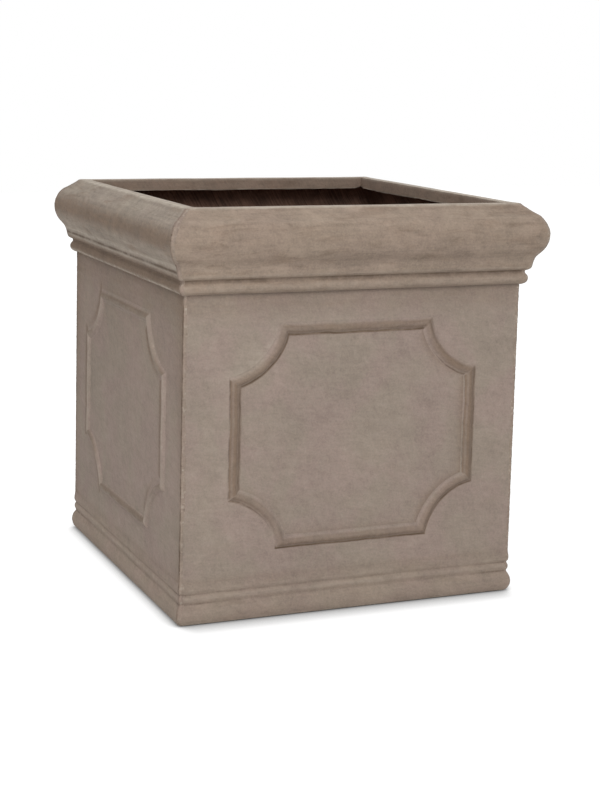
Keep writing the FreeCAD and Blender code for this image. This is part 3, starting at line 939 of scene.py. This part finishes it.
def make_seams(finish):
    """Filled seams up the four corners: thin strips of filler with crumbled edges, browner on the flanks.

    Across the strip the place runs along one face, round the corner's quarter circle and along the other
    face. Its height over the castings is a low crown times slow and fine random waves; the back is sunk.
    """
    (d, z, radius, out, up), along = seam_path()
    half = np.linspace(-1, 1, SEAM_ACROSS)
    across = np.concatenate([half, half[-2:0:-2]])
    on_top = np.arange(len(across)) < SEAM_ACROSS
    rim = capped((z - BEAD_HIGH) / SEAM_END)
    base = capped((WALL_FOOT - z) / SEAM_END)
    d, z, radius, out, up, rim, base = (row[:, None] for row in (d, z, radius, out, up, rim, base))
    quarter = radius * np.pi / 4
    for turns, corner in enumerate(CORNERS):
        lane = np.stack([along, np.full(len(along), 3.1 * turns + 0.7), 0 * along], axis=-1)[:, None]
        sway = 0.0016 * grain(lane, 0.034, 41) + 0.0012 * grain(lane, 0.010, 42)
        wide = SEAM_HALF + (SEAM_HALF_RIM - SEAM_HALF) * rim
        wide = wide * (1 + 0.35 * grain(lane, 0.017, 43) + 0.25 * grain(lane, 0.005, 47))
        aside = sway + wide * across
        bend = np.clip(aside, -quarter, quarter)
        beyond = aside - bend
        sweep = np.pi / 4 + bend / radius
        spot = np.stack(np.broadcast_arrays(lane[..., 0], aside, lane[..., 1]), axis=-1)
        crumb = np.clip(0.45 + 0.55 * grain(spot, 0.0045, 44) + 0.45 * grain(spot, 0.0019, 45), 0, 1.4)
        thick = 0.35 + 0.65 * capped(0.5 + 0.8 * grain(lane, 0.05, 46))
        lift = (1 - across ** 4) * (SEAM_FILM + SEAM_CROWN * crumb * thick) - SEAM_EDGE
        lift = np.where(on_top, lift, -SEAM_SUNK)
        reach = radius + lift * out
        side_u = d - radius + reach * np.cos(sweep) - beyond * np.sin(sweep)
        side_d = d - radius + reach * np.sin(sweep) + beyond * np.cos(sweep)
        points = np.stack([side_u, side_d, z + lift * up], axis=-1)
        points[..., :2] = np.minimum(points[..., :2], REACH - SEAM_CLEAR)
        points[..., 2] = np.maximum(points[..., 2], 0)
        values = seam_paint(spot, aside if turns % 2 else -aside, crumb, rim + base)
        piece = closed_piece("seam_" + corner, turned(points, turns), values, finish, flipped=True)
        set_in_place(piece, "planter", "cast_stone")


def make_floor(finish):
    """Floor slab: rows from the drain hole out to the square edge, over it, back below and up the hole.

    A row's reach is the hole's radius plus a share of the way to the square's edge in that direction.
    """
    turn = np.linspace(0, 2 * np.pi, FLOOR_POINTS, endpoint=False) + np.pi / 4
    heading = np.stack([np.cos(turn), np.sin(turn)])
    edge = FLOOR_HALF / np.abs(heading).max(axis=0)
    above = np.concatenate([[0.0, 0.004, 0.012], np.linspace(0.03, 0.97, 38), [0.99, 1.0]])
    share = np.concatenate([above, above[::-4], [0.0]])[:, None]
    under = (np.arange(len(share)) >= len(above))[:, None]
    reach = DRAIN_RADIUS + (edge - DRAIN_RADIUS) * share
    x, y = reach * heading[0], reach * heading[1]
    rough = FLOOR_ROUGH * (1 + grain(np.stack([x, y, 0 * x], axis=-1), 0.03, 51))
    near = capped((reach - DRAIN_RADIUS) / DRAIN_SMOOTH)
    z = np.where(under, FLOOR_LOW, FLOOR_HIGH - rough * near)
    z[0] = FLOOR_HIGH - DRAIN_EASE
    quads = grid_faces(*x.shape, closed=True, ring=True)[:, ::-1]
    piece = make_piece("floor_slab", np.stack([x, y, z], axis=-1), quads, [], {}, finish)
    set_in_place(piece, "planter", "raw_cast", "floor_panel")


def make_fillets(finish):
    """Bonding fillets up the inside corners: three-sided, with the open face brushed hollow and rough."""
    heart = INSIDE - BOND_GAP
    share = np.linspace(0, 1, FILLET_FACE_POINTS)[:-1]
    legs = np.linspace(0, 1, FILLET_LEG_POINTS)[:-1]
    slope = np.stack([heart - FILLET_LEG * (1 - share), heart - FILLET_LEG * share], axis=1)
    leg_in = np.stack([heart + 0 * legs, heart - FILLET_LEG * (1 - legs)], axis=1)
    leg_out = np.stack([heart - FILLET_LEG * legs, heart + 0 * legs], axis=1)
    section = np.concatenate([slope, leg_in, leg_out])
    bare = np.concatenate([np.sin(np.pi * share), 0 * legs, 0 * legs])
    z = np.linspace(FLOOR_HIGH, WALL_HEAD, FILLET_ROWS)[:, None]
    for turns, corner in enumerate(CORNERS):
        points = np.stack(np.broadcast_arrays(*section.T, z), axis=-1)
        place = turned(points, turns)
        hollow = FILLET_HOLLOW + 0.0011 * grain(place, 0.035, 61) + 0.0005 * grain(place, 0.009, 62)
        points[..., :2] += (bare * hollow)[..., None]
        piece = closed_piece("fillet_" + corner, turned(points, turns), {}, finish, flipped=True)
        set_in_place(piece, "planter", "raw_cast", "corner_strip_" + corner)


def make_plug(finish):
    """Drain plug: a half section, softly rounded, carried round z, with shallow flutes in the grip."""
    low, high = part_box("drain_plug")
    head_high = FLOOR_HIGH + PLUG_HEAD_THICK
    steps = lines_through((0.0, low.z), (PLUG_TIP, low.z), (PLUG_STEM, FLOOR_LOW), (PLUG_STEM, FLOOR_HIGH),
                          (PLUG_HEAD, FLOOR_HIGH), (PLUG_HEAD, head_high), (PLUG_GRIP, head_high),
                          (PLUG_GRIP, high.z), (0.0, high.z))
    half = np.concatenate([points[:-1] for points in steps])
    whole = bell(np.concatenate([half, half[::-1] * (-1, 1)]), PLUG_SOFT / DENSE)
    radius, z = whole[1:len(half):2].T[..., None]
    radius = np.maximum(radius, PLUG_HEART)
    z = np.clip(z, low.z, high.z)
    turn = np.linspace(0, 2 * np.pi, PLUG_POINTS, endpoint=False)
    grip = capped((z - head_high - FLUTE_START) / FLUTE_EASE)
    reach = radius * (1 - FLUTE_SHARE * grip * (0.5 + 0.5 * np.cos(FLUTES * turn)) ** 2)
    points = np.stack([reach * np.cos(turn), reach * np.sin(turn), z + 0 * turn], axis=-1)
    piece = closed_piece("plug", points, {}, finish, flipped=False)
    set_in_place(piece, "plug", "plug_rubber", "drain_plug")


class Wire:
    """A number on its way through a finish: the usual operators add Math nodes."""

    def __init__(self, finish, socket):
        self.finish = finish
        self.socket = socket

    def maths(self, operation, first, second):
        """Adds a Math node for an operation on two numbers."""
        return self.finish.node("ShaderNodeMath", {"operation": operation}, {0: first, 1: second})

    def __add__(self, other):
        return self.maths("ADD", self, other)

    __radd__ = __add__

    def __sub__(self, other):
        return self.maths("SUBTRACT", self, other)

    def __rsub__(self, other):
        return self.maths("SUBTRACT", other, self)

    def __mul__(self, other):
        return self.maths("MULTIPLY", self, other)

    __rmul__ = __mul__


class Finish:
    """The nodes of a material or a world, all added by one method."""

    def __init__(self, holder):
        self.holder = holder
        self.holder.use_nodes = True
        self.tree = self.holder.node_tree
        self.tree.nodes.clear()

    def node(self, kind, settings, sockets, output=0):
        """Adds a node, sets it, gives its sockets their values or links, and hands on one of its outputs."""
        node = self.tree.nodes.new(kind)
        for label, value in settings.items():
            setattr(node, label, value)
        for label, value in sockets.items():
            if isinstance(value, Wire):
                self.tree.links.new(value.socket, node.inputs[label])
            else:
                node.inputs[label].default_value = value
        return Wire(self, node.outputs[output]) if len(node.outputs) else None

    def place(self):
        """Object coordinates, in metres."""
        return self.node("ShaderNodeTexCoord", {}, {}, 3)

    def value(self, label):
        """A painted number of the mesh."""
        return self.node("ShaderNodeAttribute", {"attribute_name": label}, {}, 2)

    def run(self):
        """The metres along and across a casting."""
        return self.node("ShaderNodeAttribute", {"attribute_name": "run"}, {}, 1)

    def stretch(self, vector, scale, turn=0.0):
        """A vector turned about its third axis, in degrees, then scaled along each of its axes."""
        turned_first = {"Vector": vector, "Rotation": (0, 0, math.radians(turn))}
        turned_first = self.node("ShaderNodeMapping", {}, turned_first)
        return self.node("ShaderNodeMapping", {}, {"Vector": turned_first, "Scale": scale})

    def noise(self, vector, scale, detail=3.0, rough=0.55, swirl=0.0):
        """Cloudy noise from 0 to 1."""
        sockets = {"Vector": vector, "Scale": scale, "Detail": detail}
        sockets |= {"Roughness": rough, "Distortion": swirl}
        return self.node("ShaderNodeTexNoise", {}, sockets)

    def ramp(self, value, low, high, least=0.0, most=1.0):
        """Eases a value from least to most between low and high."""
        sockets = {0: value, 1: low, 2: high, 3: least, 4: most}
        return self.node("ShaderNodeMapRange", {"interpolation_type": "SMOOTHSTEP"}, sockets)

    def blend(self, share, first, second):
        """Mixes two colours."""
        return self.node("ShaderNodeMix", {"data_type": "RGBA"}, {0: share, 6: first, 7: second}, 2)

    def shade(self, colour, amount):
        """Scales a colour."""
        return self.node("ShaderNodeVectorMath", {"operation": "SCALE"}, {0: colour, 3: amount})

    def surface(self, colour, rough, bump, depth):
        """Ends the finish in a dull surface with a bumped normal."""
        normal = self.node("ShaderNodeBump", {}, {"Height": bump, "Distance": depth, "Strength": 1.0})
        sockets = {"Base Color": colour, "Roughness": rough, "Normal": normal, "Specular IOR Level": 0.25}
        skin = self.node("ShaderNodeBsdfPrincipled", {}, sockets)
        self.node("ShaderNodeOutputMaterial", {}, {"Surface": skin})
        return self.holder


def tone(red, green, blue):
    """A screen colour from 0 to 255 as the light it stands for."""
    part = np.array([red, green, blue]) / 255
    light = np.where(part <= 0.04045, part / 12.92, ((part + 0.055) / 1.055) ** 2.4)
    return (*light.tolist(), 1.0)


STONE_ROSE = tone(150, 133, 124)
STONE_OLIVE = tone(147, 134, 122)
STONE_GREY = tone(138, 128, 118)
STONE_TAN = tone(154, 137, 121)
STONE_ASH = tone(162, 152, 139)
# The brown, wash and worn colours also carry painted shade and painted highlights
STONE_BROWN_AND_SHADE = tone(122, 104, 89)
STONE_WASH_AND_SHADE = tone(92, 76, 63)
STONE_WEAR_AND_HIGHLIGHT = tone(190, 179, 165)
RAW_DARK = tone(76, 58, 50)
RAW_LIGHT = tone(138, 107, 91)
RUBBER = tone(34, 32, 31)
RUBBER_BLOOM = tone(66, 61, 56)
BLACK = tone(0, 0, 0)
WHITE = tone(255, 255, 255)


def raw_colour(finish, lay):
    """Raw brown inside: slanted brush marks over slow clouds."""
    marks = finish.noise(finish.stretch(lay, (26, 330, 60), 58), 1.0, 3.0, 0.55, 0.5)
    clouds = finish.noise(lay, 16.0, 4.0, 0.6)
    return finish.blend(finish.ramp(0.42 * marks + 0.58 * clouds, 0.32, 0.70), RAW_DARK, RAW_LIGHT), marks


class Stone(Finish):
    """The finish of the stone, with the marks that its colours and its bumps share."""

    def __init__(self, holder):
        super().__init__(holder)
        self.spot = self.place()
        self.lay = self.run()
        self.age = self.value("age")
        self.warm = self.value("warm")
        self.clouds = self.noise(self.spot, 7.0, 3.0, 0.5)
        self.patches = self.noise(self.spot, 36.0, 4.0, 0.6, 0.4)
        self.mottle = self.noise(self.spot, 120.0, 3.0, 0.6, 0.8)
        self.grit = self.noise(self.spot, 360.0, 2.0, 0.6)
        self.streaks = self.noise(self.stretch(self.lay, (11, 170, 1)), 1.0, 5.0, 0.62, 0.25)

    def coat(self):
        """Rosy and olive patches with grey mottle, and ash or tan where the stone is aged."""
        blush = self.noise(self.spot, 11.0, 4.0, 0.6, 0.5)
        stone = self.blend(self.ramp(blush, 0.38, 0.62), STONE_ROSE, STONE_OLIVE)
        greyed = self.ramp(self.mottle + 0.5 * (self.patches - 0.5), 0.46, 0.72)
        stone = self.blend(0.30 * greyed, stone, STONE_GREY)
        return self.blend(0.7 * self.age, stone, self.blend(self.warm, STONE_ASH, STONE_TAN))

    def browned_and_shaded(self, stone):
        """Brown tint where it is painted, which is painted shade in places, and smears of brown patina where
        the stone is aged.
        """
        tint_and_shade = self.value("tint_and_shade") * (0.15 + 1.7 * (0.35 * self.patches + 0.65 * self.streaks))
        stone = self.blend(self.ramp(tint_and_shade, 0.0, 1.0, 0.0, 0.92), stone, STONE_BROWN_AND_SHADE)
        smears = self.noise(self.stretch(self.lay, (13, 55, 1)), 1.0, 5.0, 0.65, 0.6)
        patina = self.ramp(smears + 0.35 * (self.clouds - 0.5), 0.47, 0.72)
        return self.blend(self.age * patina * 0.55, stone, STONE_BROWN_AND_SHADE)

    def light(self):
        """How light the coat is, round 1: clouds, grit and flecks, brush strokes, streaks and fine hairs."""
        specks = self.noise(self.spot, 210.0, 2.0, 0.5)
        flecks = self.ramp(specks, 0.28, 0.38, 1.0, 0.0) - self.ramp(specks, 0.62, 0.72)
        brushed = self.noise(self.stretch(self.lay, (34, 130, 1), 14), 1.0, 3.0, 0.6, 1.1)
        upright = self.noise(self.stretch(self.lay, (130, 38, 1), -22), 1.0, 3.0, 0.6, 1.1)
        rising = self.noise(self.stretch(self.lay, (30, 420, 1), 24), 1.0, 3.0, 0.6, 0.3)
        falling = self.noise(self.stretch(self.lay, (30, 420, 1), -52), 1.0, 3.0, 0.6, 0.3)
        hairs = self.ramp(rising, 0.56, 0.74) + self.ramp(falling, 0.56, 0.74)
        cloudy = 0.26 * (self.clouds - 0.5) + 0.30 * (self.patches - 0.5)
        gritty = 0.26 * (self.mottle - 0.5) + 0.32 * (self.grit - 0.5) + 0.05 * flecks
        strokes = 0.28 * (brushed - 0.5) + (0.25 - 0.13 * self.age) * (upright - 0.5)
        light = 1 + (1 + 0.9 * self.age) * cloudy + (1 + 0.3 * self.age) * gritty + strokes
        streaked = (0.08 + self.age * (0.64 - 0.24 * self.warm)) * (self.streaks - 0.5)
        return light + streaked + 0.06 * (1 - self.age) * hairs

    def weathered_shaded_and_highlit(self, stone):
        """Dark wash and pale wear where they are painted, which hold painted shade and painted highlights in
        places, both broken up.
        """
        broken = self.ramp(0.5 * self.streaks + 0.5 * self.noise(self.spot, 75.0, 3.0, 0.6), 0.38, 0.62)
        settled = self.ramp(self.noise(self.spot, 17.0, 2.0), 0.36, 0.62)
        wash_and_shade = self.value("wash_and_shade") * (0.22 + 0.58 * broken + 0.40 * settled)
        stone = self.blend(self.ramp(wash_and_shade, 0.03, 0.85, 0.0, 0.88), stone, STONE_WASH_AND_SHADE)
        return self.blend(self.value("wear_and_highlight") * (0.20 + 0.5 * broken), stone, STONE_WEAR_AND_HIGHLIGHT)


def antiqued_stone():
    """Matte taupe coat, browned, shaded by its lightness and weathered, with painted shade and highlights in
    places, and the raw casting inside.
    """
    finish = Stone(bpy.data.materials.new("antiqued_stone"))
    stone = finish.weathered_shaded_and_highlit(finish.shade(finish.browned_and_shaded(finish.coat()), finish.light()))
    raw, marks = raw_colour(finish, finish.lay)
    inside = finish.ramp(finish.value("raw"), 0.35, 0.65)
    colour = finish.blend(inside, stone, raw)
    bump = (0.04 + 0.35 * finish.age) * finish.streaks + 0.30 * finish.grit + 0.25 * finish.mottle
    bump = bump + 0.4 * finish.patches + 0.8 * inside * marks
    return finish.surface(colour, 0.80 + 0.15 * finish.patches, bump, 0.0008)


def raw_cast():
    """Raw brown casting inside: brush marks and dusty high spots."""
    finish = Finish(bpy.data.materials.new("raw_cast"))
    place = finish.place()
    colour, marks = raw_colour(finish, place)
    grit = finish.noise(place, 300.0, 2.0)
    return finish.surface(colour, 0.82 + 0.12 * grit, marks + 0.3 * grit, 0.0012)


def plug_rubber():
    """Near-black moulded rubber with a dusty bloom and fine grit."""
    finish = Finish(bpy.data.materials.new("plug_rubber"))
    place = finish.place()
    bloom = finish.noise(place, 90.0, 4.0, 0.6)
    grit = finish.noise(place, 900.0, 2.0)
    colour = finish.blend(finish.ramp(bloom, 0.35, 0.75), RUBBER, RUBBER_BLOOM)
    return finish.surface(colour, 0.55 + 0.3 * bloom, 0.7 * grit + 0.3 * bloom, 0.0003)


def make_camera():
    """Camera at the photograph's viewing angle: looks along its yaw and pitch, then leans by its roll."""
    yaw, pitch, roll = np.radians([CAMERA_YAW, CAMERA_PITCH, CAMERA_ROLL])
    level = math.cos(pitch)
    forward = Vector((-math.sin(yaw) * level, math.cos(yaw) * level, -math.sin(pitch)))
    right = forward.cross(Vector((0, 0, 1))).normalized()
    up = right.cross(forward)
    leaned_right = right * math.cos(roll) + up * math.sin(roll)
    leaned_up = up * math.cos(roll) - right * math.sin(roll)
    lens = bpy.data.cameras.new("camera")
    lens.lens = CAMERA_LENS
    lens.sensor_width = CAMERA_SENSOR
    lens.shift_x, lens.shift_y = CAMERA_SHIFT
    camera = bpy.data.objects.new("camera", lens)
    turn = Matrix((leaned_right, leaned_up, -forward)).transposed().to_4x4()
    camera.matrix_world = Matrix.Translation(CAMERA_PLACE) @ turn
    bpy.context.scene.collection.objects.link(camera)
    bpy.context.scene.camera = camera


def make_lamp(name, place, size, power):
    """A square soft light at a place, turned to the lamps' aim."""
    lamp = bpy.data.lights.new(name, "AREA")
    lamp.size = size
    lamp.energy = power
    holder = bpy.data.objects.new(name, lamp)
    holder.location = place
    holder.rotation_mode = "QUATERNION"
    holder.rotation_quaternion = (Vector(LAMP_AIM) - Vector(place)).to_track_quat("-Z", "Y")
    bpy.context.scene.collection.objects.link(holder)


def seen_share(finish):
    """1 where the camera, a reflection or a clear body sees it, and 0 for its light elsewhere."""
    path = finish.node("ShaderNodeLightPath", {}, {})
    outputs = path.socket.node.outputs
    glossy = Wire(finish, outputs["Is Glossy Ray"])
    through = Wire(finish, outputs["Is Transmission Ray"])
    return path.maths("MAXIMUM", path.maths("MAXIMUM", path, glossy), through)


def make_world():
    """Even soft light all round, and plain white where the camera or a reflection sees it."""
    world = bpy.data.worlds.new("studio")
    bpy.context.scene.world = world
    finish = Finish(world)
    level = AMBIENT + (1 - AMBIENT) * seen_share(finish)
    glow = finish.node("ShaderNodeBackground", {}, {"Color": finish.blend(level, BLACK, WHITE)})
    finish.node("ShaderNodeOutputWorld", {}, {"Surface": glow})


def floor_finish():
    """Pale floor, plain white far off and darker close to the planter, in a narrower line at its sides."""
    finish = Finish(bpy.data.materials.new("studio_floor"))
    distance = finish.node("ShaderNodeVectorMath", {"operation": "LENGTH"}, {0: finish.place()}, 1)
    near = finish.ramp(distance, STAGE_NEAR, STAGE_FAR, 1.0, 0.0)
    contact = finish.node("ShaderNodeAmbientOcclusion", {"samples": 16}, {"Distance": CONTACT_SHADOW}, 1)
    x = finish.node("ShaderNodeSeparateXYZ", {}, {0: finish.place()})
    beside = finish.ramp(x.maths("ABSOLUTE", x, 0), BODY - SHADOW_TURN, BODY + SHADOW_TURN)
    before = contact.maths("POWER", contact, 1.7)
    shadow = (1 - beside) * before + beside * finish.ramp(contact, 0.30, 0.86, 0.30)
    glow = finish.blend((1 - 0.05 * near) * shadow, BLACK, WHITE)
    white = finish.node("ShaderNodeEmission", {}, {"Color": glow})
    dim = finish.node("ShaderNodeBsdfDiffuse", {}, {"Color": STAGE_DIM})
    shown = finish.node("ShaderNodeAddShader", {}, {0: white, 1: dim})
    plain = finish.node("ShaderNodeBsdfDiffuse", {}, {"Color": STAGE_PALE})
    mixed = finish.node("ShaderNodeMixShader", {}, {0: seen_share(finish), 1: plain, 2: shown})
    finish.node("ShaderNodeOutputMaterial", {}, {"Surface": mixed})
    return finish.holder


def make_stage():
    """A wide flat floor under the planter."""
    span = np.linspace(-STAGE_SPAN / 2, STAGE_SPAN / 2, STAGE_ROWS)
    x, y = np.meshgrid(span, span)
    quads = grid_faces(STAGE_ROWS, STAGE_ROWS, closed=False)
    floor = make_piece("studio_floor", np.stack([x, y, 0 * x], axis=-1), quads, [], {}, floor_finish())


def main():
    """Makes the pieces, then the stage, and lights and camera."""
    stone = antiqued_stone()
    make_cornices(stone)
    make_walls(stone)
    make_plinths(stone)
    make_seams(stone)
    raw = raw_cast()
    make_floor(raw)
    make_fillets(raw)
    make_plug(plug_rubber())
    make_stage()
    make_world()
    for lamp in LAMPS:
        make_lamp(*lamp)
    make_camera()
    bpy.context.scene.view_settings.view_transform = "Standard"


main()
